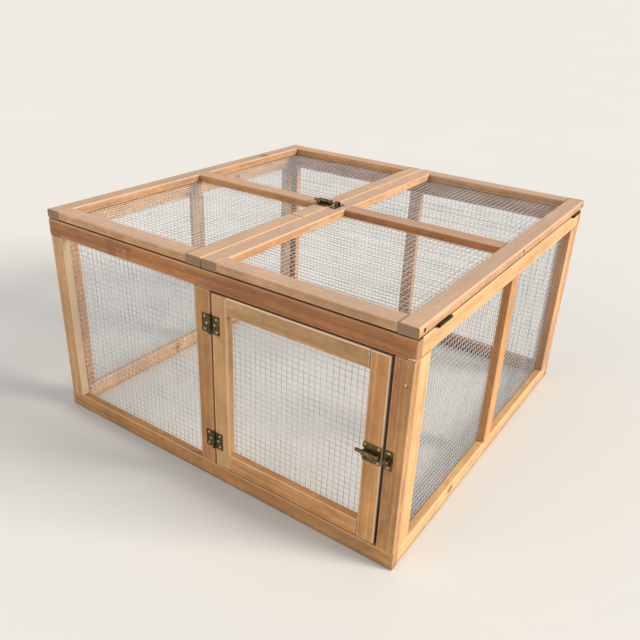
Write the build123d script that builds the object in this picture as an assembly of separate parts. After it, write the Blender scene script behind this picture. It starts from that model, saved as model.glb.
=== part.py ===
from build123d import *
import math
import os

# A floorless run for small poultry: four upright timber frames screwed into a box,
# a door in the right bay of the front, and a roof of two lids hinged along the sides.
# X runs along the front to the right, Y towards the back and Z up.
# The origin is on the ground under the middle of the run. All sizes are millimetres.

# Run
run_width = 914
run_depth = 902
frame_height = 486

# Planed timber, used flat or on edge for every board
board_width = 38
board_thick = 19
edge_round = 3

# Roof lids
seam_gap = 2
back_overhang = 12

# Door
door_hinge_gap = 4
door_latch_gap = 6
door_top_gap = 4
door_bottom_gap = 3

# Wire netting behind the timber
net_thick = 1.8
strand_width = 1.6
net_lap = 12
net_corner_gap = 2
most_gaps = 300

# Small screws that hold the metalwork
screw_radius = 1.4
screw_head_radius = 2.5
screw_head_depth = 1.1
screw_head_rise = 0.5
screw_length = 14
screw_clearance = 0.05

# Long screws through the lid stiles into the ends of the lid rails
rail_screw_radius = 2
rail_screw_head_radius = 4
rail_screw_head_depth = 2.4
rail_screw_sink = 1.5
rail_screw_length = 65
middle_rail_screw_offset = 12

# Hinges in common
knuckle_count = 5
knuckle_gap = 0.4
pin_clearance = 0.05
pin_head_height = 0.8
pin_head_rim = 0.5

# Door hinges, proud of the front face
door_hinge_length = 40
door_leaf_width = 22.5
door_leaf_thick = 1.4
door_knuckle_radius = 3.2
door_pin_radius = 1.6
door_leaf_outer_screw = 15.2
door_leaf_inner_screw = 10.6
door_leaf_screw_step = 13.5
upper_hinge_drop = 67
lower_hinge_rise = 63

# Roof hinges, with their leaves in the gap under the lids
roof_hinge_length = 50
roof_leaf_thick = 1.2
roof_leaf_clearance = 0.6
roof_leaf_margin = 2
roof_knuckle_radius = 3
roof_knuckle_clearance = 0.35
roof_pin_radius = 1.2
roof_leaf_screw_step = 17
roof_leaf_screw_stagger = 2
front_hinge_from_front = 90
back_hinge_from_back = 56

# Barrel bolts, one on the door and one across the roof seam
bolt_plate_edge = 0.5
bolt_plate_width = 39
bolt_plate_thick = 1.5
bolt_corner_radius = 2
bolt_notch_depth = 4
bolt_notch_width = 15
bolt_screw_inset = 4.5
bolt_rod_radius = 3.5
bolt_running_clearance = 0.08
bolt_barrel_radius = 5.5
bolt_axis_height = 6.5
bolt_barrel_start = 2
bolt_strap_length = 4.5
bolt_strap_inset = 0.5
bolt_rod_length = 48
bolt_rod_setback = 1
bolt_tip_margin = 2.5
bolt_tip_chamfer = 1
bolt_neck_radius = 1.5
bolt_slot_clearance = 0.3
bolt_knob_radius = 3.6
bolt_knob_drop = 11.5
bolt_knob_gap = 6
roof_bolt_before_middle = 13

# Keepers that the rods slide into
keeper_length = 16
keeper_width = 41
keeper_edge = 1
keeper_loop_length = 10
keeper_clearance = 0.5
keeper_wall = 1.5
keeper_corner_radius = 3
keeper_screw_inset = 5

# Places worked out from the sizes above
half_width = run_width / 2
half_depth = run_depth / 2
inner_half_width = half_width - board_thick
inner_half_depth = half_depth - board_thick
stile_top = frame_height - board_width
roof_gap = 2 * roof_leaf_thick + roof_leaf_clearance
lid_bottom = frame_height + roof_gap
lid_top = lid_bottom + board_thick
roof_front = -half_depth
roof_back = half_depth + back_overhang
roof_middle = (roof_front + roof_back) / 2
door_left = board_width / 2 + door_hinge_gap
door_right = half_width - board_width - door_latch_gap
door_bottom = board_width + door_bottom_gap
door_top = stile_top - door_top_gap
door_axis_x = door_left - door_hinge_gap / 2
roof_axis_out = math.sqrt((roof_knuckle_radius + roof_knuckle_clearance) ** 2 - (roof_gap / 2) ** 2)
roof_axis_x = half_width + roof_axis_out
bolt_plate_length = board_width - 2 * bolt_plate_edge
bolt_strap_start = bolt_plate_length - bolt_strap_inset - bolt_strap_length
bolt_barrel_end = bolt_strap_start - bolt_knob_gap
keeper_step = bolt_plate_edge + door_latch_gap + keeper_edge
bolt_travel = bolt_rod_setback + keeper_step + keeper_length - bolt_tip_margin
bolt_neck_thrown = bolt_strap_start - bolt_knob_gap / 2
bolt_neck_rest = bolt_neck_thrown - bolt_travel

pieces = {}
screws = {"frame": [], "door": [], "roof_left": [], "roof_right": []}


# One board between two corners, with its four long edges eased and its ends cut square.
def board(low, high):
    size = [b - a for a, b in zip(low, high)]
    middle = [(a + b) / 2 for a, b in zip(low, high)]
    long_axis = (Axis.X, Axis.Y, Axis.Z)[size.index(max(size))]
    timber = Pos(*middle) * Box(*size)
    return fillet(timber.edges().filter_by(long_axis), edge_round)


# Full-length rails with three stiles between them, standing along X or along Y.
def upright_frame(name, half_length, thickness, along_x, end_names):
    near, far = thickness
    spans = {
        "top_rail": (-half_length, half_length, stile_top, frame_height),
        "bottom_rail": (-half_length, half_length, 0, board_width),
        f"{end_names[0]}_stile": (-half_length, board_width - half_length, board_width, stile_top),
        "middle_stile": (-board_width / 2, board_width / 2, board_width, stile_top),
        f"{end_names[1]}_stile": (half_length - board_width, half_length, board_width, stile_top),
    }
    for part, (start, end, low, high) in spans.items():
        if along_x:
            pieces[f"{name}_{part}"] = board((start, near, low), (end, far, high))
        else:
            pieces[f"{name}_{part}"] = board((near, start, low), (far, end, high))


# The door: two full-height stiles with a rail at the top and at the bottom.
def door_frame():
    near = -half_depth
    far = near + board_thick
    left_inner = door_left + board_width
    right_inner = door_right - board_width
    spans = {
        "door_hinge_stile": (door_left, left_inner, door_bottom, door_top),
        "door_latch_stile": (right_inner, door_right, door_bottom, door_top),
        "door_top_rail": (left_inner, right_inner, door_top - board_width, door_top),
        "door_bottom_rail": (left_inner, right_inner, door_bottom, door_bottom + board_width),
    }
    for name, (left, right, low, high) in spans.items():
        pieces[name] = board((left, near, low), (right, far, high))


# Low and high X of a span given outwards from the seam, on the left (-1) or right (1) lid.
def across_lid(side, inner, outer):
    return sorted((side * inner, side * outer))


# One lid: full-depth stiles at the side and at the seam, with three rails between them.
def roof_lid(name, side):
    seam = seam_gap / 2
    outer_stile = (half_width - board_width, half_width)
    inner_stile = (seam, seam + board_width)
    rails = (seam + board_width, half_width - board_width)
    spans = {
        "outer_stile": (outer_stile, roof_front, roof_back),
        "inner_stile": (inner_stile, roof_front, roof_back),
        "front_rail": (rails, roof_front, roof_front + board_width),
        "middle_rail": (rails, roof_middle - board_width / 2, roof_middle + board_width / 2),
        "back_rail": (rails, roof_back - board_width, roof_back),
    }
    for part, (reach, front, back) in spans.items():
        left, right = across_lid(side, *reach)
        pieces[f"{name}_{part}"] = board((left, front, lid_bottom), (right, back, lid_top))


# A rectangular wire, for the outline of a net and for each gap in it.
def rectangle_wire(left, bottom, right, top):
    corners = [(left, bottom), (right, bottom), (right, top), (left, top)]
    return Wire.make_polygon([Vector(x, y, 0) for x, y in corners], close=True)


# One flat sheet of netting, as a holed face given its thickness. The gaps are nearly square.
def net(seat, width, height):
    pitch = math.sqrt(width * height / most_gaps)
    columns = int(width // pitch)
    rows = int(height // pitch)
    step_x = (width - strand_width) / columns
    step_y = (height - strand_width) / rows
    left = strand_width - width / 2
    bottom = strand_width - height / 2
    gaps = []
    for column in range(columns):
        for row in range(rows):
            x = left + column * step_x
            y = bottom + row * step_y
            gaps.append(rectangle_wire(x, y, x + step_x - strand_width, y + step_y - strand_width))
    outline = rectangle_wire(-width / 2, -height / 2, width / 2, height / 2)
    return seat * extrude(Face(outline, gaps), net_thick)


# Seven nets: one inside each upright frame, one behind the door and one under each lid.
def nets():
    net_bottom = board_width - net_lap
    net_top = stile_top + net_lap
    height = net_top - net_bottom
    middle = (net_bottom + net_top) / 2
    front_left = net_corner_gap - inner_half_width
    front_right = net_lap - board_width / 2
    front_middle = (front_left + front_right) / 2
    front = Plane((front_middle, -inner_half_depth, middle), x_dir=(-1, 0, 0), z_dir=(0, 1, 0))
    pieces["front_net"] = net(front, front_right - front_left, height)
    back = Plane((0, inner_half_depth, middle), x_dir=(1, 0, 0), z_dir=(0, -1, 0))
    pieces["back_net"] = net(back, 2 * (inner_half_width - net_corner_gap), height)
    for name, side in (("left", -1), ("right", 1)):
        seat = Plane((side * inner_half_width, 0, middle), x_dir=(0, side, 0), z_dir=(-side, 0, 0))
        pieces[f"{name}_net"] = net(seat, 2 * (inner_half_depth - net_corner_gap), height)
    hem = board_width - net_lap
    door_seat = Plane(
        ((door_left + door_right) / 2, -inner_half_depth, (door_bottom + door_top) / 2),
        x_dir=(-1, 0, 0),
        z_dir=(0, 1, 0),
    )
    door_net = net(door_seat, door_right - door_left - 2 * hem, door_top - door_bottom - 2 * hem)
    pieces["door_net"] = door_net
    lid_inner = seam_gap / 2 + hem
    lid_outer = half_width - hem
    for name, side in (("roof_left", -1), ("roof_right", 1)):
        under = Plane(
            (side * (lid_inner + lid_outer) / 2, roof_middle, lid_bottom),
            x_dir=(1, 0, 0),
            z_dir=(0, 0, -1),
        )
        pieces[f"{name}_net"] = net(under, lid_outer - lid_inner, roof_back - roof_front - 2 * hem)


# A countersunk screw that points down local Z, with the rim of its head at height 0.
def screw(radius, head_radius, head_depth, head_rise, length):
    outline = Polyline(
        (0, 0, head_rise),
        (head_radius / 2, 0, head_rise),
        (head_radius, 0, 0),
        (radius, 0, -head_depth),
        (radius, 0, radius - length),
        (0, 0, -length),
        close=True,
    )
    return revolve(make_face(outline), Axis.Z)


# The hole that such a screw sits in, open above it.
def screw_hole(radius, head_radius, head_depth, mouth, length):
    wide = head_radius + screw_clearance
    narrow = radius + screw_clearance
    outline = Polyline(
        (0, 0, mouth),
        (wide, 0, mouth),
        (wide, 0, 0),
        (narrow, 0, -head_depth),
        (narrow, 0, -length - screw_clearance),
        (0, 0, -length - screw_clearance),
        close=True,
    )
    return revolve(make_face(outline), Axis.Z)


# Drills one piece of metal and the board that it sits on, and adds the screws to a group.
def fasten(metal, board_name, group, seat, points, rise):
    sizes = (screw_radius, screw_head_radius, screw_head_depth)
    hole = screw_hole(*sizes, screw_length, screw_length)
    body = screw(*sizes, rise, screw_length)
    for x, y in points:
        place = seat * Pos(x, y, 0)
        metal = metal - place * hole
        pieces[board_name] = pieces[board_name] - place * hole
        screws[group].append(place * body)
    return metal


# Lengths along a hinge that one leaf's knuckles take: every other one, from the given one.
def knuckle_spans(length, first):
    step = length / knuckle_count
    for index in range(first, knuckle_count, 2):
        yield index * step - length / 2 + knuckle_gap / 2, step - knuckle_gap


# One leaf on local z = 0, with its pin line along local Y above x = 0.
def hinge_leaf(length, leaf_width, thick, knuckle_radius, pin_radius, axis_height, first):
    root = knuckle_radius + knuckle_gap
    leaf = Pos((root + leaf_width) / 2, 0, thick / 2) * Box(leaf_width - root, length, thick)
    for start, span in knuckle_spans(length, first):
        middle = start + span / 2
        leaf += Pos(root / 2, middle, thick / 2) * Box(root, span, thick)
        leaf += Pos(0, middle, axis_height) * Rot(90, 0, 0) * Cylinder(knuckle_radius, span)
    bore = Cylinder(pin_radius + pin_clearance, length + knuckle_radius)
    return leaf - Pos(0, 0, axis_height) * Rot(90, 0, 0) * bore


# A hinge pin along local Y with a low head past each end of the knuckles.
def hinge_pin(length, pin_radius, axis_height):
    shaft = Cylinder(pin_radius, length + pin_head_height)
    head = Cylinder(pin_radius + pin_head_rim, pin_head_height)
    head_middle = (length + pin_head_height) / 2
    pin = shaft + Pos(0, 0, head_middle) * head + Pos(0, 0, -head_middle) * head
    return Pos(0, 0, axis_height) * Rot(90, 0, 0) * pin


# Places of a leaf's three screws: the middle one sits nearer to the pin.
def leaf_screw_points(outer, inner, step):
    return [(outer, step), (inner, 0), (outer, -step)]


# Two hinges between the middle stile and the door.
def door_hinges():
    size = (door_hinge_length, door_leaf_width, door_leaf_thick)
    pin_size = (door_knuckle_radius, door_pin_radius, door_knuckle_radius)
    points = leaf_screw_points(door_leaf_outer_screw, door_leaf_inner_screw, door_leaf_screw_step)
    frame_leaves = []
    door_leaves = []
    pins = []
    for height in (door_top - upper_hinge_drop, door_bottom + lower_hinge_rise):
        place = (door_axis_x, -half_depth, height)
        door_seat = Plane(place, x_dir=(1, 0, 0), z_dir=(0, -1, 0))
        frame_seat = Plane(place, x_dir=(-1, 0, 0), z_dir=(0, -1, 0))
        face = Pos(0, 0, door_leaf_thick)
        frame_leaf = frame_seat * hinge_leaf(*size, *pin_size, 0)
        door_leaf = door_seat * hinge_leaf(*size, *pin_size, 1)
        frame_leaves.append(
            fasten(frame_leaf, "front_middle_stile", "frame", frame_seat * face, points, screw_head_rise)
        )
        door_leaves.append(
            fasten(door_leaf, "door_hinge_stile", "door", door_seat * face, points, screw_head_rise)
        )
        pins.append(door_seat * hinge_pin(door_hinge_length, door_pin_radius, door_knuckle_radius))
    pieces["door_hinge_frame_leaves"] = Compound(children=frame_leaves)
    pieces["door_hinge_door_leaves"] = Compound(children=door_leaves)
    pieces["door_hinge_pins"] = Compound(children=pins)


# Two hinges along each side, between the side frame's top rail and the lid's outer stile.
def roof_hinges():
    axis_height = roof_gap / 2
    leaf_width = roof_axis_out + board_thick - roof_leaf_margin
    size = (roof_hinge_length, leaf_width, roof_leaf_thick)
    pin_size = (roof_knuckle_radius, roof_pin_radius, axis_height)
    screw_line = roof_axis_out + board_thick / 2
    outer_screw = screw_line + roof_leaf_screw_stagger
    inner_screw = screw_line - roof_leaf_screw_stagger
    points = leaf_screw_points(outer_screw, inner_screw, roof_leaf_screw_step)
    frame_leaves = []
    pins = []
    for name, side in (("left", -1), ("right", 1)):
        lid_leaves = []
        for along in (front_hinge_from_front - half_depth, half_depth - back_hinge_from_back):
            below = Plane((side * roof_axis_x, along, frame_height), x_dir=(-side, 0, 0), z_dir=(0, 0, 1))
            above = Plane((side * roof_axis_x, along, lid_bottom), x_dir=(-side, 0, 0), z_dir=(0, 0, -1))
            face = Pos(0, 0, roof_leaf_thick)
            frame_leaf = below * hinge_leaf(*size, *pin_size, 0)
            lid_leaf = above * hinge_leaf(*size, *pin_size, 1)
            frame_leaves.append(fasten(frame_leaf, f"{name}_top_rail", "frame", below * face, points, 0))
            lid_leaves.append(
                fasten(lid_leaf, f"roof_{name}_outer_stile", f"roof_{name}", above * face, points, 0)
            )
            pins.append(below * hinge_pin(roof_hinge_length, roof_pin_radius, axis_height))
        pieces[f"roof_{name}_hinge_leaves"] = Compound(children=lid_leaves)
    pieces["roof_hinge_frame_leaves"] = Compound(children=frame_leaves)
    pieces["roof_hinge_pins"] = Compound(children=pins)


# A round bar along the bolt's line, from local x = start to x = end.
def bar_on_line(radius, start, end):
    bar = Rot(0, 90, 0) * Cylinder(radius, end - start)
    return Pos((start + end) / 2, 0, bolt_axis_height) * bar


# A plate on local z = 0 that starts at x = 0, with rounded corners.
def hardware_plate(length, width):
    plate = extrude(RectangleRounded(length, width, bolt_corner_radius), bolt_plate_thick)
    return Pos(length / 2, 0, 0) * plate


# The bolt's plate with its slotted barrel and a narrow guide strap near the right end.
def bolt_body():
    strap_end = bolt_strap_start + bolt_strap_length
    notch = Box(2 * bolt_notch_depth, bolt_notch_width, 2 * bolt_plate_thick)
    body = hardware_plate(bolt_plate_length, bolt_plate_width) - notch
    body += bar_on_line(bolt_barrel_radius, bolt_barrel_start, bolt_barrel_end)
    body += bar_on_line(bolt_barrel_radius, bolt_strap_start, strap_end)
    slot_half = bolt_neck_radius + bolt_slot_clearance
    slot_start = bolt_neck_rest - slot_half
    slot = Box(bolt_barrel_end - slot_start, 2 * bolt_barrel_radius, 2 * slot_half)
    slot_middle = (slot_start + bolt_barrel_end) / 2
    body -= Pos(slot_middle, -bolt_barrel_radius, bolt_axis_height) * slot
    return body - bar_on_line(bolt_rod_radius + bolt_running_clearance, 0, bolt_plate_length)


# The rod at rest, drawn back, with its knob hanging from it through the slot.
def bolt_rod():
    tip = bolt_plate_length - bolt_rod_setback
    rod = bar_on_line(bolt_rod_radius, tip - bolt_rod_length, tip)
    rod = chamfer(rod.edges().filter_by(GeomType.CIRCLE), bolt_tip_chamfer)
    neck = Rot(90, 0, 0) * Cylinder(bolt_neck_radius, bolt_knob_drop)
    knob = Pos(bolt_neck_rest, -bolt_knob_drop, bolt_axis_height) * Sphere(bolt_knob_radius)
    return rod + Pos(bolt_neck_rest, -bolt_knob_drop / 2, bolt_axis_height) * neck + knob


# The keeper: a plate with a loop, square inside and rounded outside, that clears the rod all round.
def bolt_keeper():
    inner = bolt_rod_radius + keeper_clearance
    outer = inner + keeper_wall
    loop_top = bolt_axis_height + outer
    space_top = bolt_axis_height + inner
    plate = hardware_plate(keeper_length, keeper_width)
    loop = Box(keeper_loop_length, 2 * outer, loop_top)
    loop = fillet(loop.edges().filter_by(Axis.X).group_by(Axis.Z)[-1], keeper_corner_radius)
    space = Box(keeper_loop_length, 2 * inner, space_top)
    middle = keeper_length / 2
    return plate + (Pos(middle, 0, loop_top / 2) * loop - Pos(middle, 0, space_top / 2) * space)


# One bolt and its keeper on flat timber; `place` is the plate's left end on the bolt's line.
def barrel_bolt(name, place, out, carrier, keeper_carrier, group, keeper_group):
    seat = Plane(place, x_dir=(1, 0, 0), z_dir=out)
    face = Pos(0, 0, bolt_plate_thick)
    across = bolt_plate_width / 2 - bolt_screw_inset
    ends = (bolt_screw_inset, bolt_plate_length - bolt_screw_inset)
    points = [(x, y) for x in ends for y in (-across, across)]
    body = seat * bolt_body()
    pieces[f"{name}_body"] = fasten(body, carrier, group, seat * face, points, screw_head_rise)
    pieces[f"{name}_rod"] = seat * bolt_rod()
    keeper_seat = seat * Pos(bolt_plate_length + keeper_step, 0, 0)
    keeper_across = keeper_width / 2 - keeper_screw_inset
    keeper_points = [(keeper_length / 2, y) for y in (-keeper_across, keeper_across)]
    pieces[f"{name}_keeper"] = fasten(
        keeper_seat * bolt_keeper(), keeper_carrier, keeper_group, keeper_seat * face,
        keeper_points, screw_head_rise,
    )


# The door's bolt sits at half the door's height, and the roof's bolt crosses the seam.
def bolts():
    reach = bolt_plate_edge + bolt_plate_length
    door_place = (door_right - reach, -half_depth, (door_bottom + door_top) / 2)
    barrel_bolt(
        "door_bolt", door_place, (0, -1, 0), "door_latch_stile", "front_right_stile", "door", "frame"
    )
    roof_place = (-seam_gap / 2 - reach, roof_middle - roof_bolt_before_middle, lid_top)
    barrel_bolt(
        "roof_bolt", roof_place, (0, 0, 1), "roof_left_inner_stile", "roof_right_inner_stile",
        "roof_left", "roof_right",
    )


# Three long screws from a lid's outer side, one into the end of each rail.
def rail_screws(name, side):
    sizes = (rail_screw_radius, rail_screw_head_radius, rail_screw_head_depth)
    hole = screw_hole(*sizes, 2 * rail_screw_sink, rail_screw_length)
    body = screw(*sizes, 0, rail_screw_length)
    half_board = board_width / 2
    places = {
        "front_rail": roof_front + half_board,
        "middle_rail": roof_middle + middle_rail_screw_offset,
        "back_rail": roof_back - half_board,
    }
    group = []
    for rail, along in places.items():
        head = (side * (half_width - rail_screw_sink), along, lid_bottom + board_thick / 2)
        seat = Plane(head, x_dir=(0, 1, 0), z_dir=(side, 0, 0))
        for board_name in (f"{name}_outer_stile", f"{name}_{rail}"):
            pieces[board_name] = pieces[board_name] - seat * hole
        group.append(seat * body)
    pieces[f"{name}_rail_screws"] = Compound(children=group)


def build():
    upright_frame("front", half_width, (-half_depth, -inner_half_depth), True, ("left", "right"))
    upright_frame("back", half_width, (inner_half_depth, half_depth), True, ("left", "right"))
    upright_frame("left", inner_half_depth, (-half_width, -inner_half_width), False, ("front", "back"))
    upright_frame("right", inner_half_depth, (inner_half_width, half_width), False, ("front", "back"))
    door_frame()
    for name, side in (("roof_left", -1), ("roof_right", 1)):
        roof_lid(name, side)
        rail_screws(name, side)
    nets()
    door_hinges()
    roof_hinges()
    bolts()
    for group, members in screws.items():
        pieces[f"{group}_screws"] = Compound(children=members)


def write():
    os.makedirs("parts", exist_ok=True)
    for name, piece in pieces.items():
        export_step(piece, f"parts/{name}.step")
    print("pieces written", len(pieces))


build()
write()
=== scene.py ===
import bmesh
import bpy
import numpy as np
from mathutils import Matrix, Vector


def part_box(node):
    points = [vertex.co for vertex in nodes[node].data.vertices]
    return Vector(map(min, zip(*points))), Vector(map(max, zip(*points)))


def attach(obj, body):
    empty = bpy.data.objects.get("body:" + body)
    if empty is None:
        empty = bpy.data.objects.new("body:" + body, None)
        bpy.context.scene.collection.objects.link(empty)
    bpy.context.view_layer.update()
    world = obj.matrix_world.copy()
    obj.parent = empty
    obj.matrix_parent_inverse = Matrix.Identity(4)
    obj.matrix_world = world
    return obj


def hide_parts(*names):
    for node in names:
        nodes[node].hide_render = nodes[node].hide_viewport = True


# A floorless run of stained fir battens, half inch welded netting and antique brass hardware.
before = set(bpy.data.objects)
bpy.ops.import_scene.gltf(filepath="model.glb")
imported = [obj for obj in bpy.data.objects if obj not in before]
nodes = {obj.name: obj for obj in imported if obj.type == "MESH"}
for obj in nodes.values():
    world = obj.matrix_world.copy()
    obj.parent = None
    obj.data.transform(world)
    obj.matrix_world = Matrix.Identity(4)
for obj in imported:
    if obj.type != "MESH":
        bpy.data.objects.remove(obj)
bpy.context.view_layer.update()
print("frame loaded:", len(nodes), "nodes")


# Small helpers for node trees
def put(tree, socket, value):
    if isinstance(value, bpy.types.NodeSocket):
        tree.links.new(value, socket)
    else:
        socket.default_value = value


def addNode(tree, kind, inputs=None, **settings):
    node = tree.nodes.new(kind)
    for name, value in settings.items():
        setattr(node, name, value)
    for name, value in (inputs or {}).items():
        put(tree, node.inputs[name], value)
    return node


def calc(tree, operation, *values, clamp=False):
    node = addNode(tree, "ShaderNodeMath", operation=operation, use_clamp=clamp)
    for socket, value in zip(node.inputs, values):
        put(tree, socket, value)
    return node.outputs[0]


def vectorCalc(tree, operation, *values):
    node = addNode(tree, "ShaderNodeVectorMath", operation=operation)
    for socket, value in zip(node.inputs, values):
        put(tree, socket, value)
    return node.outputs["Value" if operation == "LENGTH" else "Vector"]


def splitVector(tree, vector):
    return addNode(tree, "ShaderNodeSeparateXYZ", {0: vector}).outputs


def objectPlace(tree):
    return addNode(tree, "ShaderNodeTexCoord").outputs["Object"]


# Smooth step from one value to another; it falls where start is above end.
def fade(tree, value, start, end, low=0.0, high=1.0):
    sizes = {"Value": value, "From Min": start, "From Max": end, "To Min": low, "To Max": high}
    node = addNode(tree, "ShaderNodeMapRange", sizes, interpolation_type="SMOOTHSTEP")
    return node.outputs["Result"]


def noise(tree, place, seed, scale=1.0, detail=2.0, roughness=0.5, output="Fac"):
    sizes = {"Vector": place, "W": seed, "Scale": scale, "Detail": detail, "Roughness": roughness}
    return addNode(tree, "ShaderNodeTexNoise", sizes, noise_dimensions="4D").outputs[output]


def mixColour(tree, factor, first, second, blend="MIX"):
    node = addNode(tree, "ShaderNodeMix", data_type="RGBA", blend_type=blend)
    for index, value in ((0, factor), (6, first), (7, second)):
        put(tree, node.inputs[index], value)
    return node.outputs[2]


# Lays a tint over a colour by a share of a mask.
def layOver(tree, colour, mask, share, tint):
    return mixColour(tree, calc(tree, "MULTIPLY", mask, share), colour, tint)


def addRelief(tree, shader, height, strength, distance):
    sizes = {"Strength": strength, "Distance": distance, "Height": height}
    put(tree, shader.inputs["Normal"], addNode(tree, "ShaderNodeBump", sizes).outputs[0])


def newGroup(name, inputs, outputs):
    group = bpy.data.node_groups.new(name, "ShaderNodeTree")
    for label, value in inputs.items():
        kind = "NodeSocketVector" if isinstance(value, tuple) else "NodeSocketFloat"
        socket = group.interface.new_socket(label, in_out="INPUT", socket_type=kind)
        socket.default_value = value
    for label in outputs:
        group.interface.new_socket(label, in_out="OUTPUT", socket_type="NodeSocketFloat")
    given = group.nodes.new("NodeGroupInput").outputs
    made = group.nodes.new("NodeGroupOutput").inputs
    return group, given, made


def useGroup(tree, group, **inputs):
    node = addNode(tree, "ShaderNodeGroup", node_tree=group)
    for name, value in inputs.items():
        put(tree, node.inputs[name], value)
    return node.outputs


def newMaterial(name):
    material = bpy.data.materials.new(name)
    material.use_nodes = True
    tree = material.node_tree
    tree.nodes.clear()
    shader = addNode(tree, "ShaderNodeBsdfPrincipled")
    output = addNode(tree, "ShaderNodeOutputMaterial")
    tree.links.new(shader.outputs[0], output.inputs[0])
    return material, tree, shader


# Grain. A stretch is along, across and through the board, in cells to a metre. A layer is
# (bent with the rings or not, stretch, seed shift, detail, roughness).
grainLook = {
    "swayStretch": (2.4, 15.0, 15.0),
    "swayMiddle": (0.5, 0.5, 0.5),
    "swayReach": (0.0, 0.014, 0.014),
    "lateRise": (0.2, 0.88),
    "lateStop": (1.0, 0.93),
    "ringSpread": 0.65,
    "ringLeast": 0.35,
    "layers": {
        "Streaks": (True, (2.2, 105.0, 105.0), 7.0, 4.0, 0.6),
        "Fibres": (False, (26.0, 850.0, 850.0), 3.0, 3.0, 0.65),
        "Mottle": (True, (52.0, 88.0, 88.0), 17.0, 3.0, 0.6),
    },
    "planerWaves": 1900.0,
    "planerStretch": (9.0, 30.0, 30.0),
    "planerShift": 11.0,
    "planerShows": (0.5, 0.7),
}


# Rings are the distance from a wandering pith line over the ring spacing. Each ring darkens
# slowly and ends at once. Streaks, fibres and mottle are noise drawn out along the board, and
# planing is a sine along it that shows where a coarse noise is high.
def buildGrainField():
    inputs = {"Place": (0.0, 0.0, 0.0), "Seed": 0.0, "Pith": (0.0, 0.0, 0.0)}
    inputs.update({"Spacing": 0.004, "Drift": 0.0, "Push": 0.0})
    outputs = ("Rings", "Streaks", "Fibres", "Mottle", "Planing")
    tree, given, made = newGroup("grainField", inputs, outputs)
    place, seed = given["Place"], given["Seed"]
    slow = vectorCalc(tree, "MULTIPLY", place, grainLook["swayStretch"])
    sway = noise(tree, slow, seed, output="Color")
    sway = vectorCalc(tree, "SUBTRACT", sway, grainLook["swayMiddle"])
    sway = vectorCalc(tree, "MULTIPLY", sway, grainLook["swayReach"])
    moved = vectorCalc(tree, "ADD", place, sway)

    offset = splitVector(tree, vectorCalc(tree, "SUBTRACT", moved, given["Pith"]))
    across = calc(tree, "MULTIPLY_ADD", offset["X"], given["Drift"], offset["Y"])
    flat = addNode(tree, "ShaderNodeCombineXYZ", {"Y": across, "Z": offset["Z"]}).outputs[0]
    count = calc(tree, "DIVIDE", vectorCalc(tree, "LENGTH", flat), given["Spacing"])
    count = calc(tree, "ADD", count, given["Push"])
    part = calc(tree, "FRACT", count)
    rise = fade(tree, part, *grainLook["lateRise"])
    late = calc(tree, "MULTIPLY", rise, fade(tree, part, *grainLook["lateStop"]))
    ring = calc(tree, "ADD", calc(tree, "FLOOR", count), seed)
    chance = addNode(tree, "ShaderNodeTexWhiteNoise", {"W": ring}, noise_dimensions="1D")
    strength = calc(
        tree, "MULTIPLY_ADD", chance.outputs["Value"],
        grainLook["ringSpread"], grainLook["ringLeast"],
    )
    put(tree, made["Rings"], calc(tree, "MULTIPLY", late, strength))

    for label, (bent, stretch, shift, detail, roughness) in grainLook["layers"].items():
        drawn = vectorCalc(tree, "MULTIPLY", moved if bent else place, stretch)
        layer = noise(tree, drawn, calc(tree, "ADD", seed, shift), 1.0, detail, roughness)
        put(tree, made[label], layer)
    along = splitVector(tree, place)["X"]
    chatter = calc(tree, "SINE", calc(tree, "MULTIPLY", along, grainLook["planerWaves"]))
    coarse = vectorCalc(tree, "MULTIPLY", place, grainLook["planerStretch"])
    where = noise(tree, coarse, calc(tree, "ADD", seed, grainLook["planerShift"]))
    shows = fade(tree, where, *grainLook["planerShows"])
    put(tree, made["Planing"], calc(tree, "MULTIPLY", chatter, shows))
    return tree


# Reaches in from a board's arris, end and top face, each as (where it starts, where it is full).
edgeLook = {
    "patchStretch": (22.0, 90.0, 90.0),
    "patchDetail": 3.0,
    "patchSpread": 1.8,
    "patchLeast": 0.1,
    "fullShare": 0.2,
    "end": (0.0022, 0.0003),
    "joint": (0.0035, 0.0),
    "top": (0.003, 0.0004),
}


# How near a point on the skin of a board is to an arris or to a sawn end: the distances to
# the three pairs of faces are sorted, and the middle one is the distance to the nearest arris.
def buildBoardEdges():
    half = (0.1, 0.019, 0.0095)
    inputs = {"Place": (0.0, 0.0, 0.0), "Half": half, "Width": 0.004, "Seed": 0.0}
    tree, given, made = newGroup("boardEdges", inputs, ("Edge", "End", "Joint", "Top"))
    inside = vectorCalc(tree, "ABSOLUTE", given["Place"])
    x, y, z = splitVector(tree, vectorCalc(tree, "SUBTRACT", given["Half"], inside))
    least = calc(tree, "MINIMUM", calc(tree, "MINIMUM", x, y), z)
    most = calc(tree, "MAXIMUM", calc(tree, "MAXIMUM", x, y), z)
    total = calc(tree, "ADD", calc(tree, "ADD", x, y), z)
    middle = calc(tree, "SUBTRACT", calc(tree, "SUBTRACT", total, least), most)
    patches = vectorCalc(tree, "MULTIPLY", given["Place"], edgeLook["patchStretch"])
    patchy = noise(tree, patches, given["Seed"], detail=edgeLook["patchDetail"])
    uneven = calc(tree, "MULTIPLY_ADD", patchy, edgeLook["patchSpread"], edgeLook["patchLeast"])
    reach = calc(tree, "MULTIPLY", given["Width"], uneven)
    full = calc(tree, "MULTIPLY", reach, edgeLook["fullShare"])
    put(tree, made["Edge"], fade(tree, middle, reach, full))
    put(tree, made["End"], fade(tree, x, *edgeLook["end"]))
    put(tree, made["Joint"], fade(tree, x, *edgeLook["joint"]))
    height, top = (splitVector(tree, given[label])["Z"] for label in ("Place", "Half"))
    put(tree, made["Top"], fade(tree, calc(tree, "SUBTRACT", top, height), *edgeLook["top"]))
    return tree


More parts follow.
